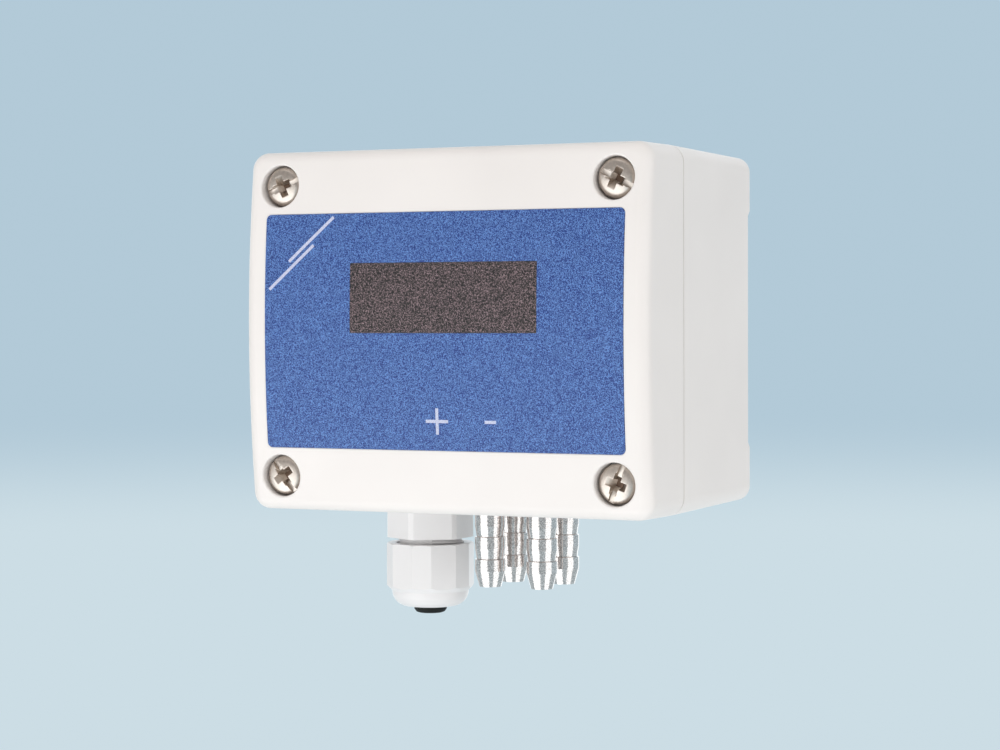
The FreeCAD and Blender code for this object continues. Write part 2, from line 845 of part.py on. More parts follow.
def link_pins():
    # Row of long pins held by two plastic bars: one on the display board and one on the socket.
    width = link_pin_count * link_pitch
    bars = []
    for back in (display_back_y + link_bar, main_front_y - link_socket_height):
        bars.append(plate(width, link_bar, 0.2, back, link_bar, link_x, link_z))
    row = bars[0].fuse(bars[1:] + link_pins_only(link_pin))
    return row.removeSplitter()


def link_socket():
    width = link_pin_count * link_pitch
    body = plate(width, link_bar, 0.2, main_front_y, link_socket_height, link_x, link_z)
    front = main_front_y - link_socket_height
    half = (link_pin + 0.2) / 2
    holes = []
    for x in link_positions():
        deep = front + link_pin_depth + 0.5
        holes.append(box(x - half, x + half, front - 1, deep, link_z - half, link_z + half))
    return body.cut(holes)


def zero_button_base():
    base = plate(button_size, button_size, 0.5, display_front_y, button_base_height, button_x, button_z)
    front = display_front_y - button_base_height
    well = rod(
        button_cap + 2 * button_clearance,
        (button_x, front + button_well_depth, button_z),
        forwards,
        button_well_depth + 1,
    )
    return base.cut(well)


def zero_button_cap():
    tip = display_front_y - button_base_height - button_cap_proud
    cap = rod(button_cap, (button_x, tip, button_z), along_y, button_cap_length)
    rim = [edge for edge in cap.Edges if edge.BoundBox.YMax < tip + 0.01]
    return cap.makeChamfer(0.3, rim)


def pressure_sensor():
    # Sensor lying flat with its two ports pointing down, centred on X, its back on y = 0.
    body = plate(sensor_width, sensor_height, 0.8, 0.0, sensor_depth)
    rim = [edge for edge in body.Edges if edge.BoundBox.YMax < -sensor_depth + 0.01]
    body = body.makeChamfer(0.6, rim)
    low = -sensor_height / 2
    ports = []
    bores = []
    for side in (-1, 1):
        start = (side * nozzle_pitch_x / 2, -sensor_port_lift, low)
        ports.append(rod(sensor_port, start, -along_z, sensor_port_length))
        bores.append(rod(sensor_port_bore, start, -along_z, sensor_port_length))
    lid = plate(0.6 * sensor_width, 0.6 * sensor_height, 0.5, -sensor_depth, 0.6)
    return body.fuse(ports + [lid]).removeSplitter().cut(bores)


def pressure_sensor_rear():
    sensor = pressure_sensor()
    sensor.translate(FreeCAD.Vector(sum(nozzle_x) / 2, main_front_y, sensor_rear_z))
    return sensor


def pressure_sensor_front():
    # The same sensor standing on its edge, with its ports pointing towards the cover.
    sensor = pressure_sensor()
    sensor.rotate(FreeCAD.Vector(0, 0, 0), along_x, -90)
    sensor.rotate(FreeCAD.Vector(0, 0, 0), along_y, 90)
    sensor.translate(
        FreeCAD.Vector(sensor_front_x - sensor_port_lift, main_front_y - sensor_height / 2, sensor_front_z)
    )
    return sensor


def tube_ends():
    # How far each tube is pushed on: from just above the nozzle's shank to just short of the sensor.
    low = nozzle_shank_top() + tube_end_gap
    rear_high = sensor_rear_z - sensor_height / 2 - tube_end_gap
    front_deep = main_front_y - sensor_height - tube_end_gap
    return low, rear_high, front_deep


def rear_tube_points(x):
    low, high, _ = tube_ends()
    y = nozzle_y["rear"]
    port_y = main_front_y - sensor_port_lift
    return [(x, y, low), (x, y, low + tube_rise), (x, port_y, high - tube_run_in), (x, port_y, high)]


def front_tube_points(x, port_z, rise):
    low, _, deep = tube_ends()
    y = nozzle_y["front"]
    bend = (sensor_front_x, y - tube_front_set, port_z)
    return [(x, y, low), (x, y, low + rise), bend, (sensor_front_x, deep, port_z)]


def tube_path(points):
    # Straight runs joined by tangent arcs, each as wide as the shorter of its two runs allows.
    nodes = [FreeCAD.Vector(*point) for point in points]
    edges = []
    start = nodes[0]
    for before, at, after in zip(nodes, nodes[1:], nodes[2:]):
        back = (before - at).normalize()
        ahead = (after - at).normalize()
        half_turn = (math.pi - back.getAngle(ahead)) / 2
        reach = 0.45 * min((before - at).Length, (after - at).Length)
        radius = reach / math.tan(half_turn)
        inwards = (back + ahead).normalize()
        middle = at + inwards * (radius / math.cos(half_turn) - radius)
        edges.append(Part.makeLine(start, at + back * reach))
        edges.append(Part.Arc(at + back * reach, middle, at + ahead * reach).toShape())
        start = at + ahead * reach
        print("tube bend radius", round(radius, 2))
    edges.append(Part.makeLine(start, nodes[-1]))
    return Part.Wire(edges)


def sensor_tube(points):
    path = tube_path(points)
    start = FreeCAD.Vector(*points[0])
    solids = []
    for diameter in (tube_diameter, nozzle_spigot):
        ring = Part.Wire(Part.makeCircle(diameter / 2, start, along_z))
        solids.append(path.makePipeShell([ring], True, True))
    return solids[0].cut(solids[1])


def build_case(parts):
    parts["rear_housing"] = rear_housing()
    parts["front_cover"] = front_cover()
    parts["cover_gasket"] = cover_gasket()
    parts["front_label"] = front_label()
    parts["display_window"] = display_window()
    for name, (sx, sz) in corners.items():
        parts["column_insert_" + name] = column_insert(sx, sz)
        parts["cover_screw_" + name] = cover_screw(sx, sz)


def build_gland(parts):
    parts["gland_flat_seal"] = gland_flat_seal()
    parts["gland_body"] = gland_body()
    parts["gland_locknut"] = gland_locknut()
    parts["gland_cap_nut"] = gland_cap_nut()
    parts["gland_seal"] = gland_seal()


def build_nozzles(parts):
    for name, x, y in nozzle_places():
        parts["nozzle_" + name] = hose_nozzle(x, y)
        parts["nozzle_nut_" + name] = nozzle_nut(x, y)


def build_boards(parts):
    parts["main_board"] = main_board()
    parts["display_board"] = display_board()
    for name, (sx, sz) in corners.items():
        parts["board_spacer_" + name] = board_spacer(sx, sz)
    parts["display_board_screws"] = display_board_screws()
    parts["digit_display"] = digit_display()
    parts["terminal_block"] = terminal_block()
    parts["microcontroller"] = microcontroller()
    parts["smoothing_capacitors"] = smoothing_capacitors()
    parts["link_socket"] = link_socket()
    parts["link_pins"] = link_pins()
    parts["zero_button_base"] = zero_button_base()
    parts["zero_button_cap"] = zero_button_cap()


def build_pressure_side(parts):
    parts["pressure_sensor_rear"] = pressure_sensor_rear()
    parts["pressure_sensor_front"] = pressure_sensor_front()
    for sign, x in zip(("plus", "minus"), nozzle_x):
        parts["sensor_tube_" + sign + "_rear"] = sensor_tube(rear_tube_points(x))
    half = nozzle_pitch_x / 2
    plus = front_tube_points(nozzle_x[0], sensor_front_z + half, tube_rise)
    minus = front_tube_points(nozzle_x[1], sensor_front_z - half, tube_rise_minus)
    parts["sensor_tube_plus_front"] = sensor_tube(plus)
    parts["sensor_tube_minus_front"] = sensor_tube(minus)


def main():
    parts = {}
    build_case(parts)
    build_gland(parts)
    build_nozzles(parts)
    build_boards(parts)
    build_pressure_side(parts)
    os.makedirs("parts", exist_ok=True)
    for name, shape in parts.items():
        shape.exportStep("parts/" + name + ".step")
    print(len(parts), "parts written")


if __name__ == "__main__":
    main()
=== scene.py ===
import math

import bmesh
import bpy
from mathutils import Matrix, Vector


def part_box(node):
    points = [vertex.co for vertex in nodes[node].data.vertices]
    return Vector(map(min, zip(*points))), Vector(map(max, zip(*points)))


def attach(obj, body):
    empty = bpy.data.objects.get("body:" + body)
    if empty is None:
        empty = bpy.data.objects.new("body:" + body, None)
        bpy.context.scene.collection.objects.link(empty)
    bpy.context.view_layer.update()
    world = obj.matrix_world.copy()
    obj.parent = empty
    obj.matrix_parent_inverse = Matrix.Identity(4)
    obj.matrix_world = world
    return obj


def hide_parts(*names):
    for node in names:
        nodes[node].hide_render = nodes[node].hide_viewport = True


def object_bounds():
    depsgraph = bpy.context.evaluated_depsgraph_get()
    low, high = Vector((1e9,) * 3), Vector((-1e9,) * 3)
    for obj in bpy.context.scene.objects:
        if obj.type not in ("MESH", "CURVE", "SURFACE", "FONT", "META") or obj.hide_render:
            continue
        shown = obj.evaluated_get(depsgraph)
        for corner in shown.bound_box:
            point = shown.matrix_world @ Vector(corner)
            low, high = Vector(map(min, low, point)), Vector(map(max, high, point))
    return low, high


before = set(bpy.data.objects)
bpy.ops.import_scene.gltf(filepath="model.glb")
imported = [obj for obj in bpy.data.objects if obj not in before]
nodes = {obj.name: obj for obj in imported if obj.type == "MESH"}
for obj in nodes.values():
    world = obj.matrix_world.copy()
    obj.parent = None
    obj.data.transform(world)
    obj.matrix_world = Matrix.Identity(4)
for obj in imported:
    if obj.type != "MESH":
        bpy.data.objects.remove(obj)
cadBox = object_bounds()
mm = 0.001  # every length below that is multiplied by this is in millimetres
corners = ("top_left", "top_right", "bottom_left", "bottom_right")
print("frame loaded:", len(nodes), "nodes")


# Camera, lights, world and floor

cameraSetup = {
    "place": (0.21554, -0.48790, 0.00337),
    "pitch": 88.616,  # degrees, 90 looks level
    "roll": 0.165,
    "turn": 25.173,
    "lens": 92.05,
    "sensor": 36.0,
}

lightSetup = {
    "target": (0.0, -0.03, -0.01),
    "left": {"turn": -26.0, "lift": -26.0, "distance": 0.6, "size": (0.62, 0.70), "watts": 2.15},
    "right": {"turn": 77.0, "lift": -8.0, "distance": 0.6, "size": (0.48, 0.95), "watts": 1.7},
    "top": {"turn": 10.0, "lift": 80.0, "distance": 0.8, "size": (0.8, 0.8), "watts": 1.6},
    "back": {"turn": 200.0, "lift": 5.0, "distance": 0.8, "size": (1.0, 0.8), "watts": 2.2},
    "fill": {"turn": 24.0, "lift": -16.0, "distance": 0.7, "size": (0.3, 0.3), "watts": 0.5,
             "mirrored": False},
    "brow": {"turn": -40.0, "lift": 35.0, "distance": 0.8, "size": (0.6, 0.6), "watts": 0.55,
             "mirrored": False},
}

backdropSetup = {
    "highColour": (0.449, 0.589, 0.685),
    "lowColour": (0.604, 0.723, 0.783),
    "highFrom": -2.2,  # elevation in degrees above which the backdrop has its high colour
    "lowTo": -4.9,  # and below which it has its low one
    "floorColour": (0.80, 0.87, 0.90),
    "roomColour": (0.50, 0.4925, 0.485),  # the light that falls on the object from all round
    "greyColour": (0.40, 0.39, 0.385),  # of the room in front of the object, which metal mirrors
    "greyRange": (-0.2, 0.4),  # the share of +Y in a direction over which that grey runs out
    "floorDrop": 650.0 * mm,  # floor below the lowest point of the object, which hangs on a wall
    "floorRadius": 4.5,  # metres, as the two below
    "fadeStart": 1.0,  # where the floor starts to turn into the backdrop, and where it has
    "fadeEnd": 4.2,
    "paintShare": 0.2,  # how much of the floor's own shading shows near the object
}


def addCamera():
    data = bpy.data.cameras.new("camera")
    data.lens = cameraSetup["lens"]
    data.sensor_width = cameraSetup["sensor"]
    data.clip_start = 0.01
    camera = bpy.data.objects.new("camera", data)
    camera.location = cameraSetup["place"]
    camera.rotation_euler = [math.radians(cameraSetup[k]) for k in ("pitch", "roll", "turn")]
    bpy.context.scene.collection.objects.link(camera)
    bpy.context.scene.camera = camera


def addSoftbox(name, turn, lift, distance, size, watts, mirrored=True):
    data = bpy.data.lights.new(name, "AREA")
    data.shape = "RECTANGLE"
    data.size, data.size_y = size
    data.energy = watts
    lamp = bpy.data.objects.new(name, data)
    around, up = math.radians(turn), math.radians(lift)
    away = Vector((math.sin(around) * math.cos(up), -math.cos(around) * math.cos(up), math.sin(up)))
    lamp.location = Vector(lightSetup["target"]) + away * distance
    lamp.rotation_euler = away.to_track_quat("Z", "Y").to_euler()
    lamp.visible_camera = False
    lamp.visible_glossy = mirrored
    bpy.context.scene.collection.objects.link(lamp)


def combine(tree, operation, first, second):
    node = tree.nodes.new("ShaderNodeMath")
    node.operation = operation
    tree.links.new(first, node.inputs[0])
    tree.links.new(second, node.inputs[1])
    return node.outputs[0]


def backgroundRays(tree):
    # 1 where the eye, a mirror or a lens looks at the backdrop, 0 where it only lights the object
    path = tree.nodes.new("ShaderNodeLightPath").outputs
    mirrored = combine(tree, "MAXIMUM", path["Is Camera Ray"], path["Is Glossy Ray"])
    return combine(tree, "MAXIMUM", mirrored, path["Is Transmission Ray"])


def rampOf(tree, value, start, end):
    # 0 up to the start, 1 from the end on, smooth in between
    ramp = tree.nodes.new("ShaderNodeMapRange")
    ramp.interpolation_type = "SMOOTHSTEP"
    ramp.inputs["From Min"].default_value = start
    ramp.inputs["From Max"].default_value = end
    tree.links.new(value, ramp.inputs["Value"])
    return ramp.outputs["Result"]


def mixColours(tree, first, second):
    blend = tree.nodes.new("ShaderNodeMix")
    blend.data_type = "RGBA"
    blend.inputs["A"].default_value = (*first, 1)
    blend.inputs["B"].default_value = (*second, 1)
    return blend


def mixShaders(tree, share, first, second, output):
    choose = tree.nodes.new("ShaderNodeMixShader")
    tree.links.new(share, choose.inputs["Fac"])
    tree.links.new(first.outputs[0], choose.inputs[1])
    tree.links.new(second.outputs[0], choose.inputs[2])
    tree.links.new(choose.outputs[0], tree.nodes[output].inputs["Surface"])


def addWorld():
    # an even room lights the object, and the backdrop is seen behind it
    world = bpy.data.worlds.new("studio")
    bpy.context.scene.world = world
    world.use_nodes = True
    tree = world.node_tree
    room = tree.nodes["Background"]
    room.inputs["Color"].default_value = (*backdropSetup["roomColour"], 1)
    seen = tree.nodes.new("ShaderNodeBackground")
    direction = tree.nodes.new("ShaderNodeTexCoord")
    split = tree.nodes.new("ShaderNodeSeparateXYZ")
    tree.links.new(direction.outputs["Generated"], split.inputs[0])
    lowTo, highFrom = [math.sin(math.radians(backdropSetup[k])) for k in ("lowTo", "highFrom")]
    rise = rampOf(tree, split.outputs["Z"], lowTo, highFrom)
    depth = rampOf(tree, split.outputs["Y"], *backdropSetup["greyRange"])
    wall = mixColours(tree, backdropSetup["greyColour"], backdropSetup["highColour"])
    blend = mixColours(tree, backdropSetup["lowColour"], backdropSetup["highColour"])
    tree.links.new(depth, wall.inputs["Factor"])
    tree.links.new(wall.outputs["Result"], blend.inputs["B"])
    tree.links.new(rise, blend.inputs["Factor"])
    tree.links.new(blend.outputs["Result"], seen.inputs["Color"])
    mixShaders(tree, backgroundRays(tree), room, seen, "World Output")


def addFloor():
    # it keeps the object's shadow nearby and turns into the backdrop further out
    bm = bmesh.new()
    bmesh.ops.create_circle(bm, cap_ends=True, segments=96, radius=backdropSetup["floorRadius"])
    height = cadBox[0][2] - backdropSetup["floorDrop"]
    bmesh.ops.translate(bm, verts=bm.verts, vec=(0, 0, height))
    mesh = bpy.data.meshes.new("floor")
    bm.to_mesh(mesh)
    bm.free()
    floor = bpy.data.objects.new("floor", mesh)
    bpy.context.scene.collection.objects.link(floor)
    material = bpy.data.materials.new("floor_paint")
    material.use_nodes = True
    tree = material.node_tree
    paint = tree.nodes["Principled BSDF"]
    paint.inputs["Base Color"].default_value = (*backdropSetup["floorColour"], 1)
    paint.inputs["Roughness"].default_value = 0.9
    paint.inputs["Specular IOR Level"].default_value = 0.0
    glow = tree.nodes.new("ShaderNodeEmission")
    glow.inputs["Color"].default_value = (*backdropSetup["lowColour"], 1)
    place = tree.nodes.new("ShaderNodeTexCoord")
    reach = tree.nodes.new("ShaderNodeVectorMath")
    reach.operation = "LENGTH"
    tree.links.new(place.outputs["Object"], reach.inputs[0])
    fade = rampOf(tree, reach.outputs["Value"],
                  backdropSetup["fadeStart"], backdropSetup["fadeEnd"])
    share = tree.nodes.new("ShaderNodeMapRange")
    share.inputs["To Min"].default_value = 1 - backdropSetup["paintShare"]
    tree.links.new(fade, share.inputs["Value"])
    far = combine(tree, "MULTIPLY", share.outputs["Result"], backgroundRays(tree))
    mixShaders(tree, far, paint, glow, "Material Output")
    mesh.materials.append(material)


bpy.context.scene.view_settings.view_transform = "Standard"
addCamera()
for side in ("left", "right", "top", "back", "fill", "brow"):
    addSoftbox(side + "_softbox", **lightSetup[side])
addWorld()
addFloor()
print("camera, lights and floor ready")


# Finishes

def startMaterial(name, colour, roughness, metallic=0.0, specular=0.5):
    material = bpy.data.materials.new(name)
    material.use_nodes = True
    tree = material.node_tree
    paint = tree.nodes["Principled BSDF"]
    paint.inputs["Base Color"].default_value = (*colour, 1)
    paint.inputs["Roughness"].default_value = roughness
    paint.inputs["Metallic"].default_value = metallic
    paint.inputs["Specular IOR Level"].default_value = specular
    place = tree.nodes.new("ShaderNodeTexCoord")
    return material, tree, paint, place.outputs["Object"]


gridShift = 0.45  # of a speck, which keeps flat faces off the noise's own grid


def addNoise(tree, place, grain, detail=2.0, stretch=(1, 1, 1)):
    # grain is the size of a speck in millimetres
    mapping = tree.nodes.new("ShaderNodeMapping")
    mapping.inputs["Scale"].default_value = stretch
    mapping.inputs["Location"].default_value = [gridShift * grain * mm] * 3
    noise = tree.nodes.new("ShaderNodeTexNoise")
    noise.inputs["Scale"].default_value = 1 / (grain * mm)
    noise.inputs["Detail"].default_value = detail
    tree.links.new(place, mapping.inputs["Vector"])
    tree.links.new(mapping.outputs[0], noise.inputs["Vector"])
    return noise.outputs["Fac"]


def spread(tree, value, low, high, fromLow=0.3, fromHigh=0.7):
    # turns a noise's middle range into the range low to high
    ramp = tree.nodes.new("ShaderNodeMapRange")
    ramp.inputs["From Min"].default_value = fromLow
    ramp.inputs["From Max"].default_value = fromHigh
    ramp.inputs["To Min"].default_value = low
    ramp.inputs["To Max"].default_value = high
    tree.links.new(value, ramp.inputs["Value"])
    return ramp.outputs["Result"]


def tintBy(tree, paint, value, first, second):
    mix = mixColours(tree, first, second)
    tree.links.new(value, mix.inputs["Factor"])
    tree.links.new(mix.outputs["Result"], paint.inputs["Base Color"])


def roughenBy(tree, paint, value, smooth, rough):
    tree.links.new(spread(tree, value, smooth, rough), paint.inputs["Roughness"])


def bumpBy(tree, paint, value, depth):
    # depth is in millimetres
    bump = tree.nodes.new("ShaderNodeBump")
    bump.inputs["Strength"].default_value = 1.0
    bump.inputs["Distance"].default_value = depth * mm
    tree.links.new(value, bump.inputs["Height"])
    tree.links.new(bump.outputs[0], paint.inputs["Normal"])


def shade(colour, factor):
    return tuple(channel * factor for channel in colour)


def mouldedPlastic(name, colour, roughness, grain, depth, blotch=25.0, variation=0.02,
                   unevenness=0.04):
    # spark-eroded mould texture with a faint cloudiness in the colour
    material, tree, paint, place = startMaterial(name, colour, roughness)
    cloud = spread(tree, addNoise(tree, place, blotch), 0, 1)
    tintBy(tree, paint, cloud, shade(colour, 1 - variation), shade(colour, 1 + variation))
    texture = addNoise(tree, place, grain, detail=3.0)
    roughenBy(tree, paint, texture, roughness - unevenness, roughness + unevenness)
    bumpBy(tree, paint, texture, depth)
    return material


filmSetup = {
    "grain": 0.125,
    "depth": 0.08,
    "roughness": 0.32,
    "sheen": 0.5,
    "softness": 0.02,  # of the edges between the dark ground and the painted glints, bright specks painted into the colour
}


def texturedFilm(name, dark, glintColour, level=0.5):
    # polyester film whose velvet texture catches the light in specks, both as real sheen off the
    # bump and as painted glints in the colour
    material, tree, paint, place = startMaterial(name, dark, filmSetup["roughness"],
                                                 specular=filmSetup["sheen"])
    grain = addNoise(tree, place, filmSetup["grain"], detail=0.0, stretch=(1, 0, 1))
    # painted glints: bright specks painted into the colour where the texture catches the light, on
    # top of the real sheen from the bump
    paintedGlints = spread(tree, grain, 0, 1, level - filmSetup["softness"], level + filmSetup["softness"])
    tintBy(tree, paint, paintedGlints, dark, glintColour)
    bumpBy(tree, paint, grain, filmSetup["depth"])
    return material


def rubber(name, colour, roughness, grain=0.3, depth=0.02, mottle=(0.8, 1.25)):
    material, tree, paint, place = startMaterial(name, colour, roughness, specular=0.2)
    texture = addNoise(tree, place, grain, detail=3.0)
    tintBy(tree, paint, spread(tree, texture, 0, 1), *[shade(colour, k) for k in mottle])
    bumpBy(tree, paint, texture, depth)
    return material


def clearSilicone(name, colour, roughness, grain=1.2, depth=0.01, hazeRange=(0.25, 0.4)):
    material, tree, paint, place = startMaterial(name, colour, roughness)
    paint.inputs["Transmission Weight"].default_value = 0.35
    paint.inputs["IOR"].default_value = 1.41
    haze = addNoise(tree, place, grain)
    roughenBy(tree, paint, haze, *hazeRange)
    bumpBy(tree, paint, haze, depth)
    return material


waveUnit = 0.05  # a wave texture of scale 1 repeats every 2 pi of these


def turnedMetal(name, colour, roughness, pitch, depth, axis=2, centre=(0, 0, 0), rings=False,
                mottle=(0.93, 1.04), grain=0.5, unevenness=(0.05, 0.07)):
    # metal with the fine grooves that a lathe tool leaves, along an axis or as rings on a face
    material, tree, paint, place = startMaterial(name, colour, roughness, metallic=1.0)
    centring = tree.nodes.new("ShaderNodeMapping")
    centring.inputs["Location"].default_value = [-c for c in centre]
    tree.links.new(place, centring.inputs["Vector"])
    groove = tree.nodes.new("ShaderNodeTexWave")
    groove.wave_type = "RINGS" if rings else "BANDS"
    if rings:
        groove.rings_direction = "XYZ"[axis]
    else:
        groove.bands_direction = "XYZ"[axis]
    groove.inputs["Scale"].default_value = waveUnit / (pitch * mm) * 2 * math.pi
    groove.inputs["Distortion"].default_value = 1.2
    groove.inputs["Detail"].default_value = 2.0
    tree.links.new(centring.outputs[0], groove.inputs["Vector"])
    smear = addNoise(tree, place, grain, detail=3.0)
    roughenBy(tree, paint, smear, roughness - unevenness[0], roughness + unevenness[1])
    stains = spread(tree, smear, 0, 1, fromLow=0.4, fromHigh=0.6)
    tintBy(tree, paint, stains, *[shade(colour, k) for k in mottle])
    bumpBy(tree, paint, groove.outputs["Fac"], depth)
    return material


def platedMetal(name, colour, roughness, grain=0.6, depth=0.004, unevenness=(0.06, 0.08)):
    material, tree, paint, place = startMaterial(name, colour, roughness, metallic=1.0)
    smear = addNoise(tree, place, grain, detail=3.0)
    roughenBy(tree, paint, smear, roughness - unevenness[0], roughness + unevenness[1])
    bumpBy(tree, paint, smear, depth)
    return material


laminateSetup = {
    "trackPitch": 2.6,
    "trackEdge": (0.40, 0.43),  # where a track starts and is full, as a share of its cell
    "irregularity": 0.35,
    "trackDepth": 0.03,
    "weave": 0.45,
    "roughness": 0.35,
    "roughnessRange": (0.3, 0.42),
}


def boardLaminate(name, mask, copper):
    # solder mask over copper tracks that run up, down and across in steps
    material, tree, paint, place = startMaterial(name, mask, laminateSetup["roughness"])
    cells = tree.nodes.new("ShaderNodeTexVoronoi")
    cells.distance = "CHEBYCHEV"
    cells.feature = "F1"
    cells.inputs["Scale"].default_value = 1 / (laminateSetup["trackPitch"] * mm)
    cells.inputs["Randomness"].default_value = laminateSetup["irregularity"]
    tree.links.new(place, cells.inputs["Vector"])
    track = spread(tree, cells.outputs["Distance"], 0, 1, *laminateSetup["trackEdge"])
    tintBy(tree, paint, track, mask, copper)
    cloth = addNoise(tree, place, laminateSetup["weave"], stretch=(1, 1, 3))
    roughenBy(tree, paint, cloth, *laminateSetup["roughnessRange"])
    bumpBy(tree, paint, track, laminateSetup["trackDepth"])
    return material


finishes = {
    "case_plastic": mouldedPlastic("case_plastic", (0.84, 0.80, 0.775), 0.40, 0.22, 0.004),
    "gasket_foam": rubber("gasket_foam", (0.045, 0.045, 0.045), 0.8),
    # both films have painted glints: bright specks in their colour where the velvet texture catches
    # the light
    "overlay_film": texturedFilm("overlay_film", (0.0, 0.026, 0.195), (0.120, 0.260, 0.610), 0.527),
    "tinted_lens": texturedFilm("tinted_lens", (0.0, 0.0, 0.0), (0.300, 0.206, 0.222), 0.603),
    "gland_nylon": mouldedPlastic("gland_nylon", (0.80, 0.785, 0.785), 0.34, 0.3, 0.006,
                                  variation=0.015),
    "gland_rubber": rubber("gland_rubber", (0.008, 0.009, 0.008), 0.55),
    # painted shade: a dark brown metal for the deep faces of the screws' cross recesses
    "screw_recess": platedMetal("screw_recess", (0.11, 0.072, 0.052), 0.4),
    "plated_steel": platedMetal("plated_steel", (0.72, 0.71, 0.69), 0.3),
    "insert_brass": turnedMetal("insert_brass", (0.78, 0.58, 0.29), 0.3, 0.4, 0.01, axis=1),
    "nozzle_aluminium": turnedMetal("nozzle_aluminium", (0.67, 0.62, 0.595), 0.16, 0.16, 0.0012,
                                    mottle=(0.72, 1.2), grain=0.24),
    "board_laminate": boardLaminate("board_laminate", (0.012, 0.115, 0.045), (0.024, 0.155, 0.060)),
    "display_plastic": mouldedPlastic("display_plastic", (0.02, 0.02, 0.022), 0.35, 0.3, 0.003),
    "terminal_plastic": mouldedPlastic("terminal_plastic", (0.03, 0.22, 0.10), 0.38, 0.25, 0.004),
    "chip_plastic": mouldedPlastic("chip_plastic", (0.022, 0.022, 0.024), 0.55, 0.12, 0.006),
    "can_aluminium": platedMetal("can_aluminium", (0.82, 0.82, 0.83), 0.28),
    "button_plastic": mouldedPlastic("button_plastic", (0.025, 0.025, 0.027), 0.4, 0.25, 0.003),
    "sensor_plastic": mouldedPlastic("sensor_plastic", (0.72, 0.72, 0.70), 0.4, 0.25, 0.004),
    "silicone": clearSilicone("silicone", (0.80, 0.82, 0.84), 0.3),
    "ceramic": mouldedPlastic("ceramic", (0.50, 0.36, 0.22), 0.45, 0.3, 0.003),
    "unlit_digits": mouldedPlastic("unlit_digits", (0.26, 0.245, 0.235), 0.5, 0.3, 0.002),
    "solder": platedMetal("solder", (0.70, 0.70, 0.71), 0.25),
}


def paintNode(node):
    # each CAD node gets the finish that the record names for it
    for slot in nodes[node].material_slots:
        wanted = finishes.get(slot.material.name.split(".")[0])
        if wanted:
            slot.material = wanted


for node in nodes:
    paintNode(node)
print("finishes ready:", len(finishes))


# Shaping helpers

def makePiece(bm, name, finish, body=None, sharpAngle=30.0):
    mesh = bpy.data.meshes.new(name)
    bm.to_mesh(mesh)
    bm.free()
    for polygon in mesh.polygons:
        polygon.use_smooth = True
    mesh.set_sharp_from_angle(angle=math.radians(sharpAngle))
    mesh.materials.append(finish)
    piece = bpy.data.objects.new(name, mesh)
    bpy.context.scene.collection.objects.link(piece)
    if body:
        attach(piece, body)
    return piece


def turnVerts(bm, verts, angle, axis):
    matrix = Matrix.Rotation(math.radians(angle), 3, axis)
    bmesh.ops.rotate(bm, verts=verts, cent=(0, 0, 0), matrix=matrix)


def roundEdges(bm, edges, width):
    bmesh.ops.bevel(bm, geom=edges, offset=width, offset_type="OFFSET", segments=2, profile=0.5,
                    affect="EDGES", material=-1, clamp_overlap=True)


def spinProfile(bm, points, steps):
    # points are (radius, height) in millimetres, along +X and the Z axis that they turn about
    verts = [bm.verts.new((r * mm, 0, h * mm)) for r, h in points]
    edges = [bm.edges.new(pair) for pair in zip(verts, verts[1:])]
    bmesh.ops.spin(bm, geom=verts + edges, cent=(0, 0, 0), axis=(0, 0, 1), angle=2 * math.pi,
                   steps=steps, use_merge=True, use_duplicate=False)
    bmesh.ops.remove_doubles(bm, verts=bm.verts, dist=0.001 * mm)


def arcPoints(centre, radius, start, end, steps):
    turns = [math.radians(start + (end - start) * k / steps) for k in range(steps + 1)]
    return [(centre[0] + radius * math.cos(t), centre[1] + radius * math.sin(t)) for t in turns]


threadShape = {
    "foot": 0.36,  # half the ridge's width at its foot, as a share of the pitch
    "crest": 0.15,  # half its width at the crest, as a share of the one at the foot
    "sink": 0.06,  # of the foot into the core
}


def addThread(bm, core, crest, pitch, top, bottom, steps=28):
    # a ridge that winds down the Z axis
    turns = (top - bottom) / pitch - 1
    foot = pitch * threadShape["foot"]
    inner, middle = core - threadShape["sink"], top - pitch / 2
    outline = ((inner, middle + foot), (crest, middle + foot * threadShape["crest"]),
               (crest, middle - foot * threadShape["crest"]), (inner, middle - foot))
    ridge = [bm.verts.new((reach * mm, 0, height * mm)) for reach, height in outline]
    start = bm.faces.new(ridge)
    count = round(turns * steps)
    bmesh.ops.spin(bm, geom=[start] + ridge + list(start.edges), cent=(0, 0, 0), axis=(0, 0, 1),
                   dvec=(0, 0, -pitch / steps * mm), angle=2 * math.pi * turns, steps=count,
                   use_merge=False, use_duplicate=False)


def cutWith(piece, cutter):
    # takes the cutter's volume out of the piece and throws the cutter away
    cut = piece.modifiers.new("cut", "BOOLEAN")
    cut.operation = "DIFFERENCE"
    cut.solver = "EXACT"
    cut.object = cutter
    bpy.context.view_layer.update()
    graph = bpy.context.evaluated_depsgraph_get()
    result = bpy.data.meshes.new_from_object(piece.evaluated_get(graph))
    piece.modifiers.clear()
    piece.data = result
    bpy.data.objects.remove(cutter)


def addBox(bm, centre, size, edge=0.0):
    box = bmesh.ops.create_cube(bm, size=1.0)["verts"]
    bmesh.ops.scale(bm, verts=box, vec=size)
    bmesh.ops.translate(bm, verts=box, vec=centre)
    if edge:
        roundEdges(bm, [e for e in bm.edges if e.verts[0] in box], edge)


def finishPiece(bm, name, finish, body):
    # for shapes drawn in millimetres
    bmesh.ops.scale(bm, verts=bm.verts, vec=(mm, mm, mm))
    bmesh.ops.recalc_face_normals(bm, faces=bm.faces)
    return makePiece(bm, name, finish, body)


# Cover screws: pan heads with a slot across a cross recess

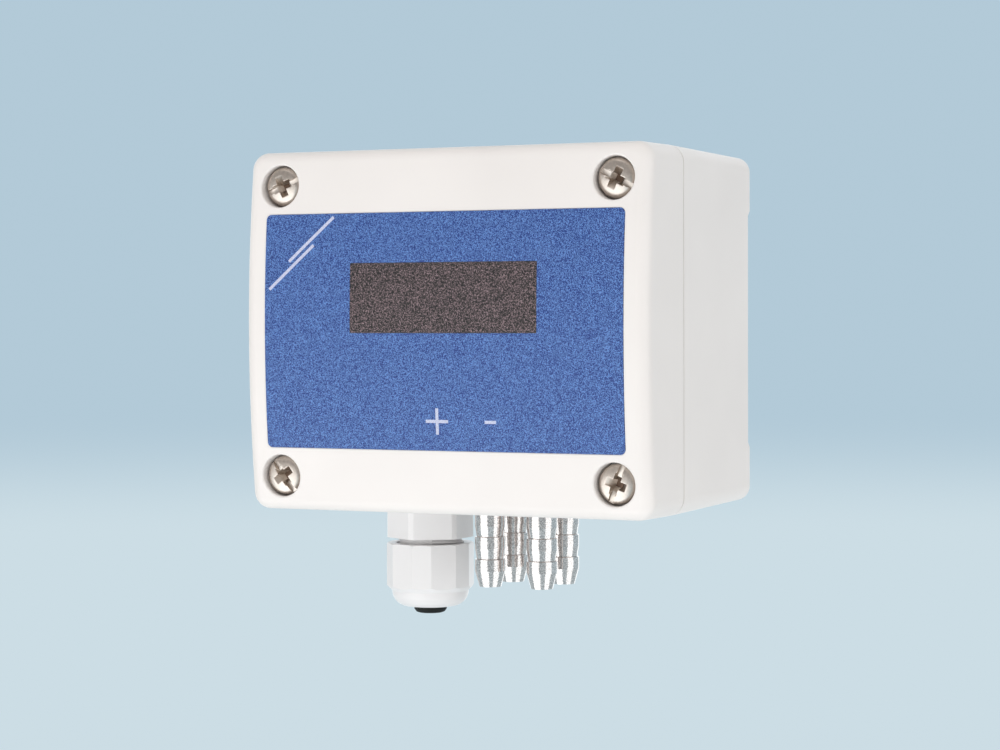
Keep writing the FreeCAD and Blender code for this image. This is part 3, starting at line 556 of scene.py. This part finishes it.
coverScrewSizes = {
    "headRadius": 3.8,
    "headHeight": 3.1,
    "sideHeight": 1.62,
    "edgeRadius": 1.15,
    "edgeSteps": 7,
    "crownSlope": 14.0,  # degrees, where the rounded edge runs out into the crown
    "slotWidth": 1.05,
    "slotDepth": 1.15,
    "crossReach": 4.7,
    "crossWidth": 1.6,
    "crossDepth": 2.3,
    "crossBottom": 1.3,
    "overshoot": 0.2,  # of the cross's cutter over the crown
    "crossNarrowing": 0.75,  # of the arms' width towards the bottom
    "burr": 0.11,  # rounding of the slot's and the cross's edges
    "burrAngle": 50.0,  # edges sharper than this, in degrees, and above this height get it
    "burrAbove": 1.8,
    "rimChamfer": 0.15,
    "shankRadius": 1.95,
    "coreRadius": 1.5,
    "shankLength": 20.0,
    "threadPitch": 1.4,
    "threadStart": 0.2,  # from the plain stretch's end to the thread
    "threadEnd": 0.6,  # from the thread to the screw's end
    "plainLength": 5.0,
    "plainRelief": 0.1,  # how much thinner in radius the plain stretch is than the shank
    "shankChamfer": 0.3,
    "pointLength": 1.2,
    "pointRadius": 0.5,
    "crownRings": (0.85, 0.7, 0.5, 0.3, 0.1),  # their radii, as shares of the crown's
    "recessFrom": 0.2,  # the recess's faces with painted shade lie above this height and below the slot
    "recessBelow": 0.05,
    "turnSteps": 72,
    "slotTurns": {"top_left": 22.0, "top_right": -27.0, "bottom_left": -54.0, "bottom_right": 70.0},
}


def crossCutter(sizes, turn):
    # a tapered arm, wide at the crown and narrow at the bottom
    bm = bmesh.new()
    top = sizes["headHeight"] + sizes["overshoot"]
    bottom = sizes["headHeight"] - sizes["crossDepth"]
    arm = bmesh.ops.create_cube(bm, size=1.0)["verts"]
    size = (sizes["crossReach"] * mm, sizes["crossWidth"] * mm, (top - bottom) * mm)
    bmesh.ops.scale(bm, verts=arm, vec=size)
    bmesh.ops.translate(bm, verts=arm, vec=(0, 0, (top + bottom) / 2 * mm))
    low = [v for v in arm if v.co.z < (top + bottom) / 2 * mm]
    narrowing = (sizes["crossBottom"] / sizes["crossReach"], sizes["crossNarrowing"], 1)
    bmesh.ops.scale(bm, verts=low, vec=narrowing)
    turnVerts(bm, bm.verts, turn, "Z")
    return makePiece(bm, "cross_cutter", finishes["plated_steel"])


def slotCutter(sizes):
    # longer than the head and taller than the slot is deep
    bm = bmesh.new()
    bmesh.ops.create_cube(bm, size=1.0)
    size = (3 * sizes["headRadius"] * mm, sizes["slotWidth"] * mm, 2 * mm)
    bmesh.ops.scale(bm, verts=bm.verts, vec=size)
    height = (sizes["headHeight"] - sizes["slotDepth"] + 1) * mm
    bmesh.ops.translate(bm, verts=bm.verts, vec=(0, 0, height))
    return makePiece(bm, "slot_cutter", finishes["plated_steel"])


def screwProfile(sizes):
    # from the middle of the point up to the middle of the crown
    plainRadius = sizes["shankRadius"] - sizes["plainRelief"]
    edgeCentre = (sizes["headRadius"] - sizes["edgeRadius"], sizes["sideHeight"])
    edge = arcPoints(edgeCentre, sizes["edgeRadius"], 0, 90 - sizes["crownSlope"],
                     sizes["edgeSteps"])
    crownRadius, crownFall = edge[-1][0], sizes["headHeight"] - edge[-1][1]
    crown = [(crownRadius * k, sizes["headHeight"] - crownFall * k ** 2)
             for k in sizes["crownRings"]]
    shank = [(0, -sizes["shankLength"]), (sizes["pointRadius"], -sizes["shankLength"]),
             (sizes["coreRadius"], sizes["pointLength"] - sizes["shankLength"]),
             (sizes["coreRadius"], -sizes["plainLength"]),
             (plainRadius, -sizes["plainLength"] + sizes["shankChamfer"]),
             (plainRadius, -sizes["shankChamfer"]), (sizes["shankRadius"], 0),
             (sizes["headRadius"] - sizes["rimChamfer"], 0),
             (sizes["headRadius"], sizes["rimChamfer"])]
    return shank + edge + crown + [(0, sizes["headHeight"])]


def roundBurrs(bm, sizes):
    # the sharp edges that the cutters left in the crown
    sharp = [e for e in bm.edges if len(e.link_faces) == 2
             and e.calc_face_angle() > math.radians(sizes["burrAngle"])
             and min(v.co.z for v in e.verts) > sizes["burrAbove"] * mm]
    roundEdges(bm, sharp, sizes["burr"] * mm)


def paintRecessShade(bm, sizes):
    # painted shade: the second finish, a dark brown, goes on the faces of the cross that lie deeper
    # than the slot
    top = (sizes["headHeight"] - sizes["slotDepth"] - sizes["recessBelow"]) * mm
    for face in bm.faces:
        centre = face.calc_center_median()
        inside = centre.xy.length < sizes["crossReach"] / 2 * mm
        face.material_index = int(sizes["recessFrom"] * mm < centre.z < top and inside)


def coverScrew(corner):
    sizes = coverScrewSizes
    low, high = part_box("cover_screw_" + corner)
    axis = ((low.x + high.x) / 2, low.y + sizes["headHeight"] * mm, (low.z + high.z) / 2)
    bm = bmesh.new()
    spinProfile(bm, screwProfile(sizes), sizes["turnSteps"])
    bmesh.ops.recalc_face_normals(bm, faces=bm.faces)
    screw = makePiece(bm, "screw_" + corner + "_detailed", finishes["plated_steel"])
    cutWith(screw, slotCutter(sizes))
    cutWith(screw, crossCutter(sizes, 0))
    cutWith(screw, crossCutter(sizes, 90))
    bm = bmesh.new()
    bm.from_mesh(screw.data)
    bpy.data.objects.remove(screw)
    roundBurrs(bm, sizes)
    addThread(bm, sizes["coreRadius"], sizes["shankRadius"], sizes["threadPitch"],
              -sizes["plainLength"] - sizes["threadStart"],
              -sizes["shankLength"] + sizes["threadEnd"])
    bmesh.ops.recalc_face_normals(bm, faces=bm.faces)
    paintRecessShade(bm, sizes)
    turn = Matrix.Rotation(math.radians(sizes["slotTurns"][corner]), 4, "Z")
    place = Matrix.Translation(axis) @ Matrix.Rotation(math.radians(90), 4, "X") @ turn
    bmesh.ops.transform(bm, matrix=place, verts=bm.verts)
    nickel = turnedMetal("screw_nickel_" + corner, (0.63, 0.56, 0.50), 0.34, 0.3, 0.004,
                         axis=1, centre=axis, rings=True)
    screw = makePiece(bm, "screw_" + corner + "_detailed", nickel, "screw_" + corner)
    # painted shade on the deep faces of the cross recess
    screw.data.materials.append(finishes["screw_recess"])
    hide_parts("cover_screw_" + corner)


for corner in corners:
    coverScrew(corner)
print("cover screws ready")


# The raised turns of the thread that the cap nut runs on, seen in the gap above the nut

glandThreadSizes = {
    "coreRadius": 6.45,
    "crestRadius": 6.85,
    "pitch": 1.5,
    "top": -42.3,
    "bottom": -49.6,
    "start": -60.0,  # direction in which the thread starts, in degrees
    "turnSteps": 56,
}


def glandThread():
    sizes = glandThreadSizes
    low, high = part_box("gland_seal")
    bm = bmesh.new()
    addThread(bm, sizes["coreRadius"], sizes["crestRadius"], sizes["pitch"],
              sizes["top"], sizes["bottom"], sizes["turnSteps"])
    turnVerts(bm, bm.verts, sizes["start"], "Z")
    axis = ((low.x + high.x) / 2, (low.y + high.y) / 2, 0)
    bmesh.ops.translate(bm, verts=bm.verts, vec=axis)
    bmesh.ops.recalc_face_normals(bm, faces=bm.faces)
    makePiece(bm, "gland_neck_thread", finishes["gland_nylon"], "housing")


glandThread()
print("gland thread ready")


# Printed marks on the overlay: two slanted stripes, a plus and a minus

markSizes = {
    "lineWidth": 0.6,
    "lineSteps": 16,  # pieces that let a line follow the arch
    "inkThickness": 0.02,
    "archRadius": 246.35,
    "stripes": (((-32.39, 13.49), (-22.82, 21.95)), ((-36.66, 8.11), (-27.05, 16.60))),
    "plus": (((-2.94, -17.04), (1.77, -17.04)), ((-0.55, -19.53), (-0.55, -14.54))),
    "minus": (((9.41, -17.04), (11.77, -17.04)),),
}


def filmFront(z):
    # the overlay follows the cover's arch, which stands out furthest at the middle of the case
    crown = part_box("front_label")[0].y / mm
    radius = markSizes["archRadius"]
    return crown + radius - math.sqrt(radius ** 2 - z ** 2)


def printMark(name, lines):
    bm = bmesh.new()
    for start, end in lines:
        run, rise = end[0] - start[0], end[1] - start[1]
        middle = ((start[0] + end[0]) / 2, 0, (start[1] + end[1]) / 2)
        bar = bmesh.ops.create_grid(bm, x_segments=markSizes["lineSteps"], y_segments=1,
                                    size=0.5)["verts"]
        bmesh.ops.scale(bm, verts=bar, vec=(math.hypot(run, rise), markSizes["lineWidth"], 1))
        turnVerts(bm, bar, math.degrees(math.atan2(rise, run)), "Z")
        turnVerts(bm, bar, 90, "X")
        bmesh.ops.translate(bm, verts=bar, vec=middle)
    for vert in bm.verts:
        vert.co.y = filmFront(vert.co.z)
    bmesh.ops.recalc_face_normals(bm, faces=bm.faces)
    bmesh.ops.solidify(bm, geom=list(bm.faces), thickness=markSizes["inkThickness"])
    bmesh.ops.translate(bm, verts=bm.verts, vec=(0, -markSizes["inkThickness"] / 2, 0))
    # the ink has the film's painted glints too, paler specks painted into its colour
    ink = texturedFilm(name + "_ink", (0.50, 0.53, 0.68), (0.62, 0.65, 0.84))
    finishPiece(bm, name, ink, "cover")


printMark("label_stripes", markSizes["stripes"])
printMark("label_plus", markSizes["plus"])
printMark("label_minus", markSizes["minus"])
print("printed marks ready")


# Parts soldered to the two boards

boardParts = {
    "legRise": 0.7,  # of a chip's legs, from the board to their shoulders
    "legWidth": 0.36,
    "legThickness": 0.15,
    "shoulder": (0.15, 0.4),  # how far its middle is from the chip's side, and its length
    "riserPlace": 0.35,
    "foot": (0.65, 0.6),
    "footLift": 0.08,
    "standOff": 0.1,  # from the board to a driver chip's body
    "resistor": (2.0, 0.5, 1.25),
    "capacitor": (2.0, 0.95, 1.25),
    "endCap": 0.4,
    "capThickness": 0.02,
    "capRounding": 0.08,
    "driverBody": (10.0, 1.5, 3.9),
    "driverRounding": 0.15,
    "driverLegs": 8,  # on each long side
    "driverPitch": 1.27,
    "controllerLegs": 11,  # on each of the four sides
    "controllerPitch": 0.8,
    "solderFoot": 0.95,
    "solderTip": 0.42,
    "solderHeight": 0.75,
    "linkPins": 6,
    "linkPitch": 2.54,
    "drivers": ((-7.0, -9.0), (9.0, -9.0)),
    "resistorPlaces": {
        "front": [(-15.0 + 4.0 * k, -3.6) for k in range(9)],
        "rear": [(-27.5, 16.5), (-23.5, 16.5), (-19.5, 16.5), (20.0, 12.0), (24.0, 12.0),
                 (28.0, 12.0)],
    },
    "capacitorPlaces": {
        "front": [(-17.5, -9.0), (19.5, -9.0), (24.5, -14.5), (24.5, -11.0), (-24.0, 4.0),
                  (-24.0, 8.0)],
        "rear": [(20.0, 15.5), (24.0, 15.5), (-12.0, -3.0), (-8.0, -3.0)],
    },
}


def boardFace(board):
    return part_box(board)[0].y / mm


def shiftsOf(count, pitch):
    # a row's places about its middle
    return [(k - (count - 1) / 2) * pitch for k in range(count)]


def addLeg(bm, face, x, z, out):
    # shoulder, riser and foot of a chip's leg, outwards from the side of its body
    rise, width, thickness = [boardParts[k] for k in ("legRise", "legWidth", "legThickness")]
    shoulder, shoulderReach = boardParts["shoulder"]
    foot, footReach = boardParts["foot"]
    bars = ((shoulder, rise, shoulderReach, thickness),
            (boardParts["riserPlace"], rise / 2, thickness, rise),
            (foot, boardParts["footLift"], footReach, thickness))
    for along, up, reach, height in bars:
        size = (abs(out[0]) * reach or width, height, abs(out[1]) * reach or width)
        addBox(bm, (x + out[0] * along, face - up, z + out[1] * along), size)


def driverChips():
    face = boardFace("display_board")
    body = boardParts["driverBody"]
    middle = face - boardParts["standOff"] - body[1] / 2
    bodies, legs = bmesh.new(), bmesh.new()
    for x, z in boardParts["drivers"]:
        addBox(bodies, (x, middle, z), body, boardParts["driverRounding"])
        for shift in shiftsOf(boardParts["driverLegs"], boardParts["driverPitch"]):
            addLeg(legs, face, x + shift, z + body[2] / 2, (0, 1))
            addLeg(legs, face, x + shift, z - body[2] / 2, (0, -1))
    finishPiece(bodies, "display_drivers", finishes["chip_plastic"], "housing")
    finishPiece(legs, "display_driver_legs", finishes["solder"], "housing")


def controllerLegs():
    low, high = [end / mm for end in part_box("microcontroller")]
    face = boardFace("main_board")
    legs = bmesh.new()
    for shift in shiftsOf(boardParts["controllerLegs"], boardParts["controllerPitch"]):
        x, z = (low.x + high.x) / 2 + shift, (low.z + high.z) / 2 + shift
        addLeg(legs, face, x, high.z, (0, 1))
        addLeg(legs, face, x, low.z, (0, -1))
        addLeg(legs, face, high.x, z, (1, 0))
        addLeg(legs, face, low.x, z, (-1, 0))
    finishPiece(legs, "microcontroller_legs", finishes["solder"], "housing")


def chipParts(name, board, kind, places, finish):
    # a row of small parts with a soldered cap at each end
    length, height, width = boardParts[kind]
    cap, thickness = boardParts["endCap"], boardParts["capThickness"]
    middle = boardFace(board) - height / 2
    capSize = (cap, height + 2 * thickness, width + 2 * thickness)
    bodies, ends = bmesh.new(), bmesh.new()
    for x, z in places:
        addBox(bodies, (x, middle, z), (length - 2 * cap, height, width))
        for side in (-1, 1):
            place = (x + side * (length - cap) / 2, middle - thickness, z)
            addBox(ends, place, capSize, boardParts["capRounding"])
    finishPiece(bodies, name, finishes[finish], "housing")
    finishPiece(ends, name + "_ends", finishes["solder"], "housing")


def linkSolder():
    low, high = [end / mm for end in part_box("link_pins")]
    middle = boardFace("display_board") - boardParts["solderHeight"] / 2
    upright = Matrix.Rotation(math.radians(90), 4, "X")
    cones = bmesh.new()
    for shift in shiftsOf(boardParts["linkPins"], boardParts["linkPitch"]):
        centre = ((low.x + high.x) / 2 + shift, middle, (low.z + high.z) / 2)
        bmesh.ops.create_cone(cones, cap_ends=True, segments=24, radius1=boardParts["solderFoot"],
                              radius2=boardParts["solderTip"], depth=boardParts["solderHeight"],
                              matrix=Matrix.Translation(centre) @ upright)
    finishPiece(cones, "link_solder", finishes["solder"], "housing")


driverChips()
controllerLegs()
for side, board in (("front", "display_board"), ("rear", "main_board")):
    resistors = boardParts["resistorPlaces"][side]
    capacitors = boardParts["capacitorPlaces"][side]
    chipParts(side + "_resistors", board, "resistor", resistors, "chip_plastic")
    chipParts(side + "_capacitors", board, "capacitor", capacitors, "ceramic")
linkSolder()
print("board parts ready")


# Segments of the digits, unlit, on the display's face

digitSizes = {
    "count": 4,
    "width": 4.0,
    "height": 7.6,
    "stroke": 0.85,
    "recess": 0.4,  # of each digit's field behind the display's face
    "gap": 0.12,
    "slant": 8.0,
    "thickness": 0.03,
    "dotRadius": 0.42,
    "dotShift": 0.85,  # from the right bars to the dot
    "dotSides": 16,
}


def segmentOutline(start, end):
    # a bar with pointed ends
    half = digitSizes["stroke"] / 2
    length = math.dist(start, end)
    first, last = digitSizes["gap"], length - digitSizes["gap"]
    ahead, aside = (end[0] - start[0]) / length, (end[1] - start[1]) / length
    upper = [(first, 0), (first + half, half), (last - half, half)]
    outline = upper + [(last, 0)] + [(u, -v) for u, v in upper[:0:-1]]
    return [(start[0] + u * ahead - v * aside, start[1] + u * aside + v * ahead)
            for u, v in outline]


def dotOutline(x, z):
    step = 360 / digitSizes["dotSides"]
    return arcPoints((x, z), digitSizes["dotRadius"], 0, 360 - step, digitSizes["dotSides"] - 1)


def displayDigits():
    low, high = [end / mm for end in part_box("digit_display")]
    half, rise = digitSizes["width"] / 2, digitSizes["height"] / 2
    bars = [((-half, z), (half, z)) for z in (-rise, 0, rise)]
    bars += [((x, z), (x, z + rise)) for x in (-half, half) for z in (-rise, 0)]
    shapes = [segmentOutline(*bar) for bar in bars]
    shapes.append(dotOutline(half + digitSizes["dotShift"], -rise))
    lean = math.tan(math.radians(digitSizes["slant"]))
    field = (high.x - low.x) / digitSizes["count"]
    middle = (low.z + high.z) / 2
    bm = bmesh.new()
    for digit in range(digitSizes["count"]):
        centre = low.x + (digit + 0.5) * field - digitSizes["dotShift"] / 4
        for shape in shapes:
            points = [(centre + x + z * lean, 0, middle + z) for x, z in shape]
            bm.faces.new([bm.verts.new(point) for point in points])
    bm.normal_update()
    bmesh.ops.solidify(bm, geom=list(bm.faces), thickness=digitSizes["thickness"])
    back = max(vert.co.y for vert in bm.verts)
    bmesh.ops.translate(bm, verts=bm.verts, vec=(0, low.y + digitSizes["recess"] - back, 0))
    finishPiece(bm, "display_digits", finishes["unlit_digits"], "housing")


displayDigits()
print("display digits ready")
